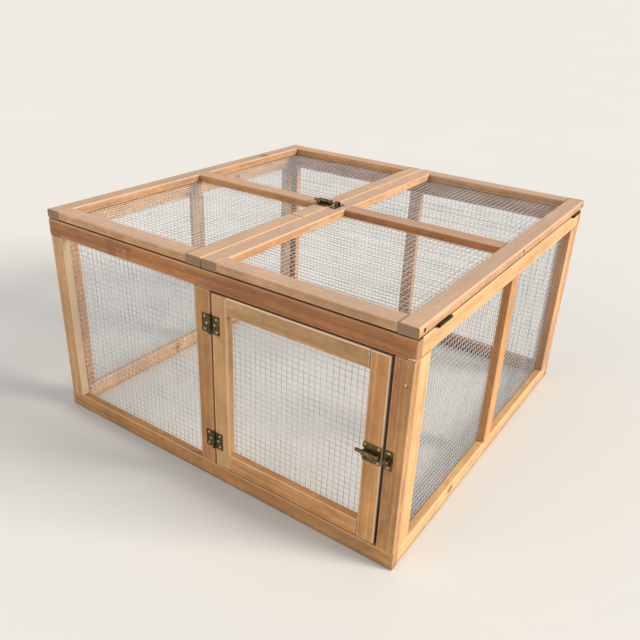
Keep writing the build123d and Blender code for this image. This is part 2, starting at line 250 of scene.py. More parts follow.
# Knots. A span is in knot radii from the middle, and shape squeezes the spot along and through.
knotLook = {
    "shape": (0.75, 1.0, 0.12),
    "ragged": {"scale": 110.0, "detail": 3.0, "roughness": 0.6},
    "raggedMiddle": 0.5,
    "raggedReach": 1.6,
    "core": (1.0, 0.55),
    "rimStart": (0.55, 0.95),
    "rimStop": (1.55, 1.0),
    "halo": (3.2, 0.8),
    "broken": {"scale": 75.0, "detail": 2.0},
    "brokenShift": 2.0,
    "brokenShows": (0.36, 0.54),
}


# A knot is a ragged round spot that runs through the board, with a halo that bends the rings.
# Its distance is the squeezed way from its middle over its radius, moved in and out by noise.
def buildKnotMark():
    inputs = {"Place": (0.0, 0.0, 0.0), "Centre": (0.0, 0.0, 0.0), "Radius": 0.006, "Seed": 0.0}
    tree, given, made = newGroup("knotMark", inputs, ("Core", "Rim", "Halo"))
    place, seed = given["Place"], given["Seed"]
    away = vectorCalc(tree, "SUBTRACT", place, given["Centre"])
    away = vectorCalc(tree, "MULTIPLY", away, knotLook["shape"])
    ragged = noise(tree, place, seed, **knotLook["ragged"])
    ragged = calc(tree, "SUBTRACT", ragged, knotLook["raggedMiddle"])
    distance = calc(tree, "DIVIDE", vectorCalc(tree, "LENGTH", away), given["Radius"])
    distance = calc(tree, "MULTIPLY_ADD", ragged, knotLook["raggedReach"], distance)
    put(tree, made["Core"], fade(tree, distance, *knotLook["core"]))
    rise = fade(tree, distance, *knotLook["rimStart"])
    ring = calc(tree, "MULTIPLY", rise, fade(tree, distance, *knotLook["rimStop"]))
    other = calc(tree, "ADD", seed, knotLook["brokenShift"])
    broken = noise(tree, place, other, **knotLook["broken"])
    shows = fade(tree, broken, *knotLook["brokenShows"])
    put(tree, made["Rim"], calc(tree, "MULTIPLY", ring, shows))
    put(tree, made["Halo"], fade(tree, distance, *knotLook["halo"]))
    return tree


# A box with soft rounded edges, for a saw line, a chip or a hole: the length of whatever part of
# the way from its centre is past its half size, faded out over the soft width.
def buildSoftBox():
    zero, half = (0.0, 0.0, 0.0), (0.01, 0.01, 0.01)
    inputs = {"Place": zero, "Centre": zero, "Half": half, "Soft": 0.001}
    tree, given, made = newGroup("softBox", inputs, ("Mask",))
    away = vectorCalc(tree, "SUBTRACT", given["Place"], given["Centre"])
    away = vectorCalc(tree, "ABSOLUTE", away)
    past = vectorCalc(tree, "MAXIMUM", vectorCalc(tree, "SUBTRACT", away, given["Half"]), zero)
    put(tree, made["Mask"], fade(tree, vectorCalc(tree, "LENGTH", past), given["Soft"], 0.0))
    return tree


weatherLook = {
    "ragged": {"scale": 38.0, "detail": 4.0, "roughness": 0.7},
    "raggedSpread": 2.0,
    "raggedLeast": -0.35,
    "blotch": {"scale": 9.0, "detail": 3.0},
    "blotchShift": 5.0,
}


# Weather: soil splashed on the lowest boards, which fades out with height at a ragged line, and
# stain that dried uneven, which is a slow noise.
def buildWeather():
    inputs = {"Place": (0.0, 0.0, 0.0), "Seed": 0.0, "Reach": 0.05}
    tree, given, made = newGroup("weather", inputs, ("Soil", "Blotch"))
    place, seed = given["Place"], given["Seed"]
    ragged = noise(tree, place, seed, **weatherLook["ragged"])
    spread, least = weatherLook["raggedSpread"], weatherLook["raggedLeast"]
    reach = calc(tree, "MULTIPLY_ADD", ragged, spread, least)
    reach = calc(tree, "MULTIPLY", given["Reach"], reach)
    put(tree, made["Soil"], fade(tree, splitVector(tree, place)["Z"], reach, 0.0))
    other = calc(tree, "ADD", seed, weatherLook["blotchShift"])
    put(tree, made["Blotch"], noise(tree, place, other, **weatherLook["blotch"]))
    return tree


grainField = buildGrainField()
boardEdges = buildBoardEdges()
knotMark = buildKnotMark()
softBox = buildSoftBox()
weather = buildWeather()
print("surface groups built")


# Timber. Colours are linear. A tone is (early wood, late wood), a board is (tone, level,
# mottle), and a knot is (x along the board, y across it, radius).
timber = {
    "seed": 23,
    "tones": {
        "brown": ((0.44, 0.180, 0.056), (0.285, 0.104, 0.028)),
        "honey": ((0.60, 0.300, 0.108), (0.43, 0.193, 0.062)),
        "pale": ((0.67, 0.400, 0.182), (0.53, 0.288, 0.117)),
        "rose": ((0.57, 0.325, 0.165), (0.42, 0.218, 0.100)),
    },
    "boards": {
        "front_top_rail": ("brown", 1.0, 0.16),
        "front_bottom_rail": ("honey", 0.84, 0.14),
        "front_left_stile": ("pale", 0.84, 0.12),
        "front_middle_stile": ("honey", 0.74, 0.12),
        "front_right_stile": ("honey", 0.80, 0.18),
        "door_hinge_stile": ("pale", 0.90, 0.10),
        "door_latch_stile": ("honey", 0.98, 0.12),
        "door_top_rail": ("pale", 0.66, 0.14),
        "door_bottom_rail": ("honey", 0.92, 0.16),
        "right_top_rail": ("pale", 0.92, 0.12),
        "right_bottom_rail": ("pale", 0.90, 0.12),
        "right_front_stile": ("pale", 0.96, 0.10),
        "right_middle_stile": ("honey", 0.92, 0.12),
        "roof_left_front_rail": ("rose", 0.96, 0.20),
        "roof_left_outer_stile": ("rose", 0.78, 0.14),
        "roof_left_inner_stile": ("rose", 0.98, 0.12),
        "roof_right_inner_stile": ("rose", 0.98, 0.12),
        "roof_right_front_rail": ("rose", 0.95, 0.16),
        "roof_right_middle_rail": ("brown", 1.0, 0.14),
        "roof_left_middle_rail": ("honey", 0.9, 0.14),
        "roof_right_outer_stile": ("rose", 0.90, 0.12),
        "roof_right_back_rail": ("rose", 0.86, 0.14),
    },
    "knots": {
        "front_top_rail": [(-0.213, -0.003, 0.0052)],
        "left_top_rail": [(0.16, -0.006, 0.007)],
        "back_bottom_rail": [(0.21, 0.004, 0.009), (-0.28, -0.008, 0.005)],
        "back_left_stile": [(-0.07, 0.003, 0.006)],
        "right_bottom_rail": [(-0.2, 0.006, 0.006)],
        "roof_left_outer_stile": [(0.27, -0.004, 0.007)],
        "left_bottom_rail": [(-0.11, 0.005, 0.007)],
    },
    "endGrain": (0.36, 0.200, 0.098, 1.0),
    "endGrainRoof": (0.225, 0.142, 0.088, 1.0),
    "rubbed": (0.68, 0.460, 0.265, 1.0),
    "knotCore": (0.340, 0.140, 0.056, 1.0),
    "knotRim": (0.052, 0.020, 0.009, 1.0),
    # weathered grey of the roof boards' tops, partly painted sheen
    "weatheredAndPaintedSheen": (0.50, 0.375, 0.290, 1.0),
    "soil": (0.105, 0.078, 0.045, 1.0),
    "dark": (0.035, 0.018, 0.009, 1.0),
}


# Marks on single boards: a saw line, chips, a stain and a screw hole. There is also painted shade
# on the faces that lie in a gap or under a lid, and painted light on lit arrises and faces. The
# dark of a hole, a nick or the saw line is painted shade. A mark is (centre, half size, soft width,
# strength, colour, relief) in the board's own frame, with x along it.
markColours = {
    # pale bare wood of chips and nicks, and a painted highlight on the door's lit arrises
    "paleWearAndPaintedLight": (0.86, 0.68, 0.47, 1.0),
    # pale wood of chips on the right lid, and painted sunlight on the inner face of the front left
    # stile
    "paleChipAndPaintedLight": (0.72, 0.58, 0.43, 1.0),
    "stain": (0.165, 0.064, 0.022, 1.0),
    "reddish": (0.50, 0.190, 0.075, 1.0),
    # painted shade inside screw holes, a nick and a saw line
    "paintedHoleShade": (0.028, 0.014, 0.007, 1.0),
    # painted shade on faces that lie in a gap or under a lid
    "paintedGapShade": (0.105, 0.040, 0.014, 1.0),
}
timberMarks = {
    "front_top_rail": [
        ((0.4490, 0.0182, -0.006), (0.0050, 0.0012, 0.006), 0.0022, 1.0, "paleWearAndPaintedLight", -0.8),
        ((0.4530, 0.0172, -0.007), (0.0022, 0.0020, 0.003), 0.0020, 0.9, "paleWearAndPaintedLight", -0.8),
        ((-0.252, 0.002, -0.009), (0.006, 0.012, 0.002), 0.013, 0.55, "stain", 0.0),
        ((-0.233, -0.009, -0.0095), (0.0020, 0.0015, 0.002), 0.0055, 0.75, "stain", 0.0),
        ((-0.197, -0.009, -0.0095), (0.0045, 0.0010, 0.002), 0.0055, 0.75, "stain", 0.0),
        ((-0.215, 0.001, -0.0095), (0.0030, 0.0040, 0.002), 0.0080, 0.55, "reddish", 0.0),
        ((-0.438, 0.013, -0.009), (0.012, 0.002, 0.002), 0.009, 0.5, "stain", 0.0),
        ((0.24, 0.0, -0.009), (0.13, 0.03, 0.002), 0.16, 0.30, "stain", 0.0),
        # painted shade on the top face, under the lid
        ((0.0, -0.019, 0.0035), (0.46, 0.0006, 0.0095), 0.002, 0.72, "paintedGapShade", 0.0),
    ],
    # painted shade on the top faces of these top rails, under the lids
    "back_top_rail": [((0.0, -0.019, 0.0), (0.46, 0.0006, 0.007), 0.002, 0.72, "paintedGapShade", 0.0)],
    "left_top_rail": [((0.0, 0.019, 0.0), (0.46, 0.0006, 0.007), 0.002, 0.72, "paintedGapShade", 0.0)],
    "right_top_rail": [((0.0, 0.019, 0.0), (0.46, 0.0006, 0.007), 0.002, 0.72, "paintedGapShade", 0.0)],
    "front_left_stile": [
        # painted sunlight on the inner face that looks to the right
        ((0.0, 0.0192, 0.0), (0.25, 0.0010, 0.0095), 0.0012, 0.6, "paleChipAndPaintedLight", 0.0),
    ],
    "door_top_rail": [
        # painted shade on the face in the gap over the door, and a painted highlight on the front
        # arris
        ((0.0, -0.019, 0.0050), (0.2, 0.0006, 0.0095), 0.0012, 0.88, "paintedGapShade", 0.0),
        ((0.0, -0.0180, -0.0092), (0.2, 0.0008, 0.0010), 0.0010, 0.55, "paleWearAndPaintedLight", 0.0),
    ],
    "door_latch_stile": [
        # painted shade on the side and the end that lie in the gaps, and painted highlights on the
        # arrises beside them
        ((0.0, 0.019, 0.0060), (0.25, 0.0006, 0.0095), 0.0010, 0.92, "paintedGapShade", 0.0),
        ((0.0, 0.0192, -0.0074), (0.2, 0.0015, 0.0016), 0.0010, 0.80, "paleWearAndPaintedLight", 0.0),
        ((0.2015, 0.0, 0.0060), (0.0008, 0.03, 0.0095), 0.0012, 0.85, "paintedGapShade", 0.0),
        ((0.2005, 0.0, -0.0092), (0.0008, 0.019, 0.0010), 0.0010, 0.55, "paleWearAndPaintedLight", 0.0),
    ],
    "door_hinge_stile": [
        # painted shade on the end in the gap
        ((0.2015, 0.0, 0.0060), (0.0008, 0.03, 0.0095), 0.0012, 0.85, "paintedGapShade", 0.0),
    ],
    "front_right_stile": [
        # painted shade on the side by the door gap, then a pale nick whose hollow is painted shade
        ((0.0, -0.019, 0.0), (0.25, 0.0006, 0.0095), 0.0015, 0.85, "paintedGapShade", 0.0),
        ((0.158, 0.0058, -0.0095), (0.0010, 0.0010, 0.002), 0.0018, 0.6, "paleWearAndPaintedLight", -0.6),
        ((0.1565, 0.0095, -0.0095), (0.002, 0.0009, 0.002), 0.0012, 0.6, "paintedHoleShade", -0.6),
    ],
    "roof_left_inner_stile": [
        # painted shade in a saw line across the top face
        ((-0.130, 0.0, 0.0095), (0.0007, 0.019, 0.004), 0.0008, 0.9, "paintedHoleShade", -1.5),
    ],
    "roof_right_middle_rail": [
        # painted shade in a screw hole
        ((0.059, -0.019, -0.0024), (0.0008, 0.002, 0.0008), 0.0013, 0.9, "paintedHoleShade", -1.0),
    ],
    "roof_right_outer_stile": [
        # painted shade round the sunk head of a rail screw, then two pale chips
        ((-0.438, -0.0192, 0.0), (0.0026, 0.0010, 0.0026), 0.0026, 0.9, "paintedHoleShade", 0.0),
        ((-0.291, 0.012, 0.0095), (0.0018, 0.001, 0.003), 0.0012, 0.8, "paleChipAndPaintedLight", -0.3),
        ((-0.204, 0.0185, 0.0085), (0.0022, 0.001, 0.003), 0.0012, 0.9, "paleChipAndPaintedLight", -0.5),
    ],
}


# How the boards are drawn. A pair is (from, to) of the mask that it shapes, and a pair after it
# is what comes out there. Draws are ranges in metres.
timberLook = {
    "seeds": 90,
    "spareTones": ("honey", "brown", "pale", "rose"),
    "spare": (0.95, 0.12),
    "pithAcross": (-0.03, 0.03),
    "pithDeep": (0.018, 0.06),
    "spacing": (0.0034, 0.0058),
    "drift": (-0.03, 0.03),
    "knotPush": 2.3,
    "edgeWidth": 0.0042,
    "soilReach": 0.03,
    "streaks": (0.30, 0.72),
    "deepen": (0.72, 0.66, 0.62, 1.0),
    "ringShare": 0.36,
    "fibreShade": 0.28,
    "plainShade": 0.86,
    "mottleSpan": (0.28, 0.72),
    "mottleLift": 0.6,
    "blotch": (0.3, 0.7, 0.84, 1.12),
    "planingShade": 0.012,
    "wornDoor": 0.72,
    "wornFrame": 0.42,
    # weathering and painted sheen on the roof boards' top faces
    "weatheredTopAndSheen": (0.3, 0.7, 0.30, 0.62),
    "haloShare": 0.5,
    "rimShare": 0.88,
    "jointShare": 0.35,
    "endPlain": 0.75,
    "endShare": 0.8,
    "soilShare": 0.5,
    "relief": {"Fibres": 0.5, "Rings": -0.35, "Streaks": 0.35, "Planing": 0.10},
    "bump": (0.55, 0.0006),
    "roughness": (0.22, 0.42),
    "endRoughness": 0.2,
    "specular": 0.42,
}


# A board's own frame: X along it, Z through its thickness, origin at its middle.
def boardFrame(name):
    low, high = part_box(name)
    size = high - low
    order = sorted(range(3), key=lambda axis: -size[axis])
    along, out = Vector((0, 0, 0)), Vector((0, 0, 0))
    along[order[0]] = out[order[2]] = 1.0
    turn = Matrix((along, out.cross(along), out)).transposed().to_euler()
    half = tuple(size[axis] / 2 for axis in order)
    return (low + high) / 2, turn, half


# The colour runs from early to late wood by the streaks, deepens with the rings, and is shaded by
# fibres, mottle and blotch. The roof boards' top faces go weathered grey, partly painted sheen.
# Worn arrises, knots, sawn ends, soil and the board's marks lie over it, and some of these marks
# are painted light and shade.
def timberMaterial(name, rng):
    look = timberLook
    middle, turn, half = boardFrame(name)
    seed = float(rng.uniform(0, look["seeds"]))
    spareTone = look["spareTones"][rng.integers(len(look["spareTones"]))]
    tone, level, mottle = timber["boards"].get(name, (spareTone, *look["spare"]))
    early, late = ((*colour, 1.0) for colour in timber["tones"][tone])
    side = rng.choice((-1.0, 1.0))
    pithAcross = float(rng.uniform(*look["pithAcross"]))
    pith = (0.0, pithAcross, float(side * rng.uniform(*look["pithDeep"])))
    material, tree, shader = newMaterial(name + "_fir")
    world = objectPlace(tree)
    own = {"Vector": world, "Location": middle, "Rotation": turn}
    place = addNode(tree, "ShaderNodeMapping", own, vector_type="TEXTURE").outputs[0]

    knots = [
        useGroup(tree, knotMark, Place=place, Centre=(x, y, 0.0), Radius=radius, Seed=seed + index)
        for index, (x, y, radius) in enumerate(timber["knots"].get(name, ()))
    ]
    push = 0.0
    for knot in knots:
        push = calc(tree, "MULTIPLY_ADD", knot["Halo"], look["knotPush"], push)
    grain = useGroup(
        tree, grainField, Place=place, Seed=seed, Pith=pith, Push=push,
        Spacing=float(rng.uniform(*look["spacing"])), Drift=float(rng.uniform(*look["drift"])),
    )
    edges = useGroup(tree, boardEdges, Place=place, Half=half, Seed=seed, Width=look["edgeWidth"])
    air = useGroup(tree, weather, Place=world, Seed=seed, Reach=look["soilReach"])

    colour = mixColour(tree, fade(tree, grain["Streaks"], *look["streaks"]), early, late)
    deep = mixColour(tree, 1.0, late, look["deepen"], "MULTIPLY")
    colour = layOver(tree, colour, grain["Rings"], look["ringShare"], deep)
    fibreShade, plainShade = look["fibreShade"] * level, look["plainShade"] * level
    shade = calc(tree, "MULTIPLY_ADD", grain["Fibres"], fibreShade, plainShade)
    least, most = 1 - mottle, 1 + look["mottleLift"] * mottle
    flecks = fade(tree, grain["Mottle"], *look["mottleSpan"], least, most)
    shade = calc(tree, "MULTIPLY", shade, flecks)
    shade = calc(tree, "MULTIPLY", shade, fade(tree, air["Blotch"], *look["blotch"]))
    shade = calc(tree, "MULTIPLY_ADD", grain["Planing"], look["planingShade"], shade)
    colour = mixColour(tree, 1.0, colour, shade, "MULTIPLY")
    worn = look["wornDoor" if name.startswith("door") else "wornFrame"]
    colour = layOver(tree, colour, edges["Edge"], worn, timber["rubbed"])
    # Top faces of the roof boards go weathered grey, partly painted sheen.
    if name.startswith("roof"):
        paleWearAndPaintedLight = fade(tree, grain["Streaks"], *look["weatheredTopAndSheen"])
        paleWearAndPaintedLight = calc(tree, "MULTIPLY", edges["Top"], paleWearAndPaintedLight)
        colour = mixColour(tree, paleWearAndPaintedLight, colour, timber["weatheredAndPaintedSheen"])
    for knot in knots:
        colour = layOver(tree, colour, knot["Halo"], look["haloShare"], deep)
        colour = mixColour(tree, knot["Core"], colour, timber["knotCore"])
        colour = layOver(tree, colour, knot["Rim"], look["rimShare"], timber["knotRim"])
    colour = layOver(tree, colour, edges["Joint"], look["jointShare"], deep)
    plainEnd = timber["endGrainRoof" if name.startswith("roof") else "endGrain"]
    sawn = mixColour(tree, grain["Rings"], plainEnd, timber["dark"])
    sawn = mixColour(tree, look["endPlain"], sawn, plainEnd)
    colour = layOver(tree, colour, edges["End"], look["endShare"], sawn)
    colour = layOver(tree, colour, air["Soil"], look["soilShare"], timber["soil"])

    relief = 0.0
    for label, weight in look["relief"].items():
        relief = calc(tree, "MULTIPLY_ADD", grain[label], weight, relief)
    # Marks lay their colour and relief over the board, and some of them are painted shade and
    # painted light.
    for centre, reach, soft, strength, tint, depth in timberMarks.get(name, ()):
        cut = useGroup(tree, softBox, Place=place, Centre=centre, Half=reach, Soft=soft)
        colour = layOver(tree, colour, cut["Mask"], strength, markColours[tint])
        relief = calc(tree, "MULTIPLY_ADD", cut["Mask"], depth, relief)
    addRelief(tree, shader, relief, *look["bump"])
    rough = calc(tree, "MULTIPLY_ADD", grain["Fibres"], *look["roughness"])
    rough = calc(tree, "MULTIPLY_ADD", edges["End"], look["endRoughness"], rough, clamp=True)
    put(tree, shader.inputs["Base Color"], colour)
    put(tree, shader.inputs["Roughness"], rough)
    put(tree, shader.inputs["Specular IOR Level"], look["specular"])
    return material


boardNames = [name for name in sorted(nodes) if name.endswith(("_rail", "_stile"))]
timberRng = np.random.default_rng(timber["seed"])
for name in boardNames:
    fir = timberMaterial(name, timberRng)
    for slot in nodes[name].material_slots:
        slot.material = fir
print("timber finished:", len(boardNames), "boards")


# Mesh helpers. A grid of points gives one quad to each cell, and closes round its last axis.
def gridQuads(index):
    beside = np.roll(index, -1, axis=-1)
    corners = (index[..., :-1, :], beside[..., :-1, :], beside[..., 1:, :], index[..., 1:, :])
    return np.stack(corners, axis=-1).reshape(-1, 4)


def joinShapes(shapes):
    starts = np.cumsum([0] + [len(points) for points, _ in shapes[:-1]])
    quads = [faces + start for (_, faces), start in zip(shapes, starts)]
    return np.concatenate([points for points, _ in shapes]), np.concatenate(quads)


# Copies of one shape: each has its own place and its own three axes as columns.
def copyShape(shape, places, turns):
    points, quads = shape
    moved = np.einsum("kij,pj->kpi", turns, points) + places[:, None, :]
    shifts = np.arange(len(places))[:, None, None] * len(points)
    return moved.reshape(-1, 3), (quads[None] + shifts).reshape(-1, 4)


def addPiece(name, shape, material, body, merge=0.0):
    points, quads = shape
    mesh = bpy.data.meshes.new(name)
    mesh.vertices.add(len(points))
    mesh.vertices.foreach_set("co", points.astype(np.float32).ravel())
    mesh.loops.add(quads.size)
    mesh.loops.foreach_set("vertex_index", quads.astype(np.int32).ravel())
    mesh.polygons.add(len(quads))
    mesh.polygons.foreach_set("loop_start", np.arange(len(quads), dtype=np.int32) * 4)
    mesh.polygons.foreach_set("use_smooth", np.ones(len(quads), dtype=bool))
    mesh.update(calc_edges=True)
    if merge:
        closed = bmesh.new()
        closed.from_mesh(mesh)
        bmesh.ops.remove_doubles(closed, verts=closed.verts, dist=merge)
        closed.to_mesh(mesh)
        closed.free()
    mesh.validate()
    mesh.materials.append(material)
    piece = bpy.data.objects.new(name, mesh)
    bpy.context.collection.objects.link(piece)
    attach(piece, body)
    return piece


# Zinc. A finish is (bright, dull, seed).
zinc = {
    "bloom": {"scale": 14.0, "detail": 4.0, "roughness": 0.65},
    "grit": {"scale": 700.0, "detail": 2.0},
    "gritShift": 4.0,
    "dulling": (0.35, 0.7),
    "spots": (0.62, 0.75, 0.0, 0.5),
    "spotColour": (0.16, 0.15, 0.13, 1.0),
    "metallic": (0.75, 0.45, 0.45, 0.85),
    "roughness": (0.3, 0.7, 0.34, 0.56),
    "bump": (0.3, 0.0001),
    "wire": ((0.64, 0.65, 0.66), (0.42, 0.43, 0.44), 3.0),
    "staple": ((0.55, 0.55, 0.54), (0.35, 0.33, 0.30), 8.0),
}


# Zinc on wire: dull grey with paler bloom and darker spots, all from noise over the wire's place.
def zincMaterial(name, bright, dull, seed):
    material, tree, shader = newMaterial(name)
    world = objectPlace(tree)
    bloom = noise(tree, world, seed, **zinc["bloom"])
    grit = noise(tree, world, seed + zinc["gritShift"], **zinc["grit"])
    colour = mixColour(tree, fade(tree, bloom, *zinc["dulling"]), (*bright, 1.0), (*dull, 1.0))
    colour = mixColour(tree, fade(tree, grit, *zinc["spots"]), colour, zinc["spotColour"])
    put(tree, shader.inputs["Base Color"], colour)
    put(tree, shader.inputs["Metallic"], fade(tree, grit, *zinc["metallic"]))
    put(tree, shader.inputs["Roughness"], fade(tree, bloom, *zinc["roughness"]))
    addRelief(tree, shader, grit, *zinc["bump"])
    return material


# Netting: every wire is a six-sided tube on a sheet that bellies a little between its boards.
netting = {
    "pitch": 0.0127,
    "wireRadius": 0.0006,
    "layer": 0.0003,
    "sides": 6,
    "sampleStep": 0.02,
    "endSpare": 0.0028,
    "farSpare": 0.001,
    "stray": 0.00015,
    "endCut": 0.001,
    "belly": 0.0016,
    "ripple": 0.0007,
    "swellWaves": (13, 17),
    "swayWaves": (21, 19),
    "lap": 0.012,
    "leastSpan": 0.02,
    "seed": 5,
    "inward": {
        "front_net": 1, "door_net": 1, "left_net": 1, "right_net": -1, "back_net": -1,
        "roof_left_net": -1, "roof_right_net": -1,
    },
    "bodyOf": {"door_net": "door", "roof_left_net": "roof_left", "roof_right_net": "roof_right"},
    "crossed": {
        "left_net": "left_middle_stile",
        "right_net": "right_middle_stile",
        "back_net": "back_middle_stile",
        "roof_left_net": "roof_left_middle_rail",
        "roof_right_net": "roof_right_middle_rail",
    },
}


# A net's low and high corners, the axis through it and the two axes along it.
def netFrame(name):
    low, high = (np.array(corner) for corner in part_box(name))
    axis = int(np.argmin(high - low))
    return low, high, axis, [other for other in range(3) if other != axis]


# Free spans of a net along one axis, between its laps and the board that crosses it.
def freeSpans(name, axis, low, high):
    start, end = low[axis] + netting["lap"], high[axis] - netting["lap"]
    if name not in netting["crossed"]:
        return [(start, end)]
    first, last = (corner[axis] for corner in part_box(netting["crossed"][name]))
    if first < start + netting["leastSpan"] or last > end - netting["leastSpan"]:
        return [(start, end)]
    return [(start, first), (last, end)]


# A half sine over each free span, and nothing on the boards.
def holdBack(values, spans):
    shares = [np.clip((values - start) / (end - start), 0, 1) for start, end in spans]
    return sum(np.sin(np.pi * share) for share in shares)


# Ring points are the path plus the radius times cos t outwards and sin t across, round the circle.
# An even number of sides is closed at both ends by a fan of quads.
def wireTubes(paths, along, away, radius, sides):
    turn = np.linspace(0, 2 * np.pi, sides, endpoint=False)[:, None]
    ring = radius * (np.cos(turn) * away + np.sin(turn) * np.cross(along, away))
    points = paths[:, :, None, :] + ring
    index = np.arange(points.size // 3).reshape(points.shape[:3])
    fans = [[0, corner, corner + 1, corner + 2] for corner in range(1, sides - 1, 2)]
    ends = [index[:, 0][:, fan[::-1]] for fan in fans] + [index[:, -1][:, fan] for fan in fans]
    return points.reshape(-1, 3), np.concatenate([gridQuads(index), *ends])


# A wire runs straight along its row. Off the boards it is moved in by the belly, which a sine of
# both directions swells, and a smaller sine of the other direction sways it in the sheet.
def weaveNet(name, rng):
    low, high, axis, flat = netFrame(name)
    inward = netting["inward"][name]
    spans = [freeSpans(name, other, low, high) for other in flat]
    phase = rng.uniform(0, 2 * np.pi, 3)
    ripple, stray, endCut = netting["ripple"], netting["stray"], netting["endCut"]
    shapes = []
    for order, side in ((0, 1), (1, -1)):
        along, across = flat[order], flat[1 - order]
        start, stop = low[across] + netting["endSpare"], high[across] - netting["farSpare"]
        rows = np.arange(start, stop, netting["pitch"])
        rows = rows + rng.uniform(-stray, stray, rows.shape)
        samples = int(np.ceil((high[along] - low[along]) / netting["sampleStep"])) + 1
        starts = low[along] + rng.uniform(0.0, endCut, rows.shape)
        stops = high[along] - rng.uniform(0.0, endCut, rows.shape)
        share = np.linspace(0, 1, samples)
        place = {across: np.repeat(rows[:, None], samples, axis=1)}
        place[along] = starts[:, None] + (stops - starts)[:, None] * share
        first, second = place[flat[0]], place[flat[1]]
        hold = holdBack(first, spans[0]) * holdBack(second, spans[1])
        wave, otherWave = netting["swellWaves"]
        swell = netting["belly"] + ripple * np.sin(wave * first + otherWave * second + phase[0])
        wave, otherWave = netting["swayWaves"]
        middle = (low[axis] + high[axis]) / 2
        paths = np.empty(first.shape + (3,))
        paths[..., flat[0]] = first + hold * ripple * np.sin(wave * second + phase[1])
        paths[..., flat[1]] = second + hold * ripple * np.sin(otherWave * first + phase[2])
        paths[..., axis] = middle + inward * hold * swell + side * netting["layer"]
        away, lengthways = np.eye(3)[axis], np.eye(3)[along]
        shapes.append(wireTubes(paths, lengthways, away, netting["wireRadius"], netting["sides"]))
    return joinShapes(shapes)


wireZinc = zincMaterial("wireZinc", *zinc["wire"])
netRng = np.random.default_rng(netting["seed"])
for name in netting["inward"]:
    body = netting["bodyOf"].get(name, "run")
    shape = weaveNet(name, netRng)
    piece = addPiece(name.replace("_net", "_wires"), shape, wireZinc, body)
    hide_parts(name)
print("netting woven:", len(netting["inward"]), "nets")


# Staples: a flat wire bent to a U, its corners eased, standing on the boards over the net.
staples = {
    "crown": 0.0098,
    "stand": 0.0024,
    "sink": 0.0006,
    "corner": 0.0012,
    "cornerPoints": 4,
    "wide": 0.0012,
    "thick": 0.0007,
    "step": 0.085,
    "inset": 0.0065,
    "endInset": 0.02,
    "strayAlong": 0.006,
    "strayAcross": 0.0012,
    "lean": 0.35,
    "seed": 31,
}


# The middle line runs up a leg, round a quarter circle, along the crown and down again. The
# section is a rectangle: half the thickness along the line's normal, half the width across it.
def stapleShape():
    reach, radius = staples["crown"] / 2, staples["corner"]
    turn = np.linspace(np.pi, np.pi / 2, staples["cornerPoints"])
    across = radius - reach + radius * np.cos(turn)
    up = staples["stand"] - radius + radius * np.sin(turn)
    leg = np.array([[-reach, -staples["sink"]]])
    half = np.concatenate([leg, np.stack([across, up], 1)])
    line = np.concatenate([half, half[::-1] * (-1, 1)])
    slope = np.gradient(line, axis=0)
    slope /= np.linalg.norm(slope, axis=1)[:, None]
    normal = np.stack([-slope[:, 1], slope[:, 0]], 1) * staples["thick"] / 2
    wide = staples["wide"] / 2
    outer, inner = line + normal, line - normal
    corners = [(outer, wide), (outer, -wide), (inner, -wide), (inner, wide)]
    sides = [np.stack([flat[:, 0], np.full(len(flat), y), flat[:, 1]], 1) for flat, y in corners]
    points = np.stack(sides, 1)
    index = np.arange(points.size // 3).reshape(points.shape[:2])
    ends = np.array([index[0], index[-1][::-1]])
    return points.reshape(-1, 3), np.concatenate([gridQuads(index)[:, ::-1], ends[:, ::-1]])


# Staples stand in rows along a net's edges and along the board that crosses it, each a little out
# of place and turned about its legs.
def stapleNet(name, rng):
    low, high, axis, flat = netFrame(name)
    inward = np.zeros(3)
    inward[axis] = netting["inward"][name]
    seat = low[axis] if netting["inward"][name] > 0 else high[axis]
    strayAlong, strayAcross = staples["strayAlong"], staples["strayAcross"]
    lines = []
    for along, across in (flat, flat[::-1]):
        count = int((high[along] - low[along]) / staples["step"])
        start, stop = low[along] + staples["endInset"], high[along] - staples["endInset"]
        spots = np.linspace(start, stop, count)
        edges = [low[across] + staples["inset"], high[across] - staples["inset"]]
        if len(freeSpans(name, across, low, high)) > 1:
            edges.append(sum(corner[across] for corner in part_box(netting["crossed"][name])) / 2)
        for edge in edges:
            place = np.full((count, 3), seat)
            place[:, along] = spots + rng.uniform(-strayAlong, strayAlong, count)
            place[:, across] = edge + rng.uniform(-strayAcross, strayAcross, count)
            lines.append((place, np.full(count, along)))
    places = np.concatenate([place for place, _ in lines])
    axes = np.eye(3)[np.concatenate([along for _, along in lines])]
    lean = rng.normal(0.5 * np.pi, staples["lean"], len(places))[:, None]
    crown = np.cos(lean) * axes + np.sin(lean) * np.cross(inward, axes)
    columns = [crown, np.cross(inward, crown), np.broadcast_to(inward, crown.shape)]
    return places, np.stack(columns, axis=2)


stapleSteel = zincMaterial("stapleSteel", *zinc["staple"])
stapleRng = np.random.default_rng(staples["seed"])
stapleSets = {}
for name in netting["inward"]:
    body = netting["bodyOf"].get(name, "run")
    stapleSets.setdefault(body, []).append(stapleNet(name, stapleRng))
for body, sets in stapleSets.items():
    places, turns = (np.concatenate(parts) for parts in zip(*sets))
    shape = copyShape(stapleShape(), places, turns)
    addPiece(body + "_staples", shape, stapleSteel, body)
print("staples set:", sum(len(places) for sets in stapleSets.values() for places, _ in sets))


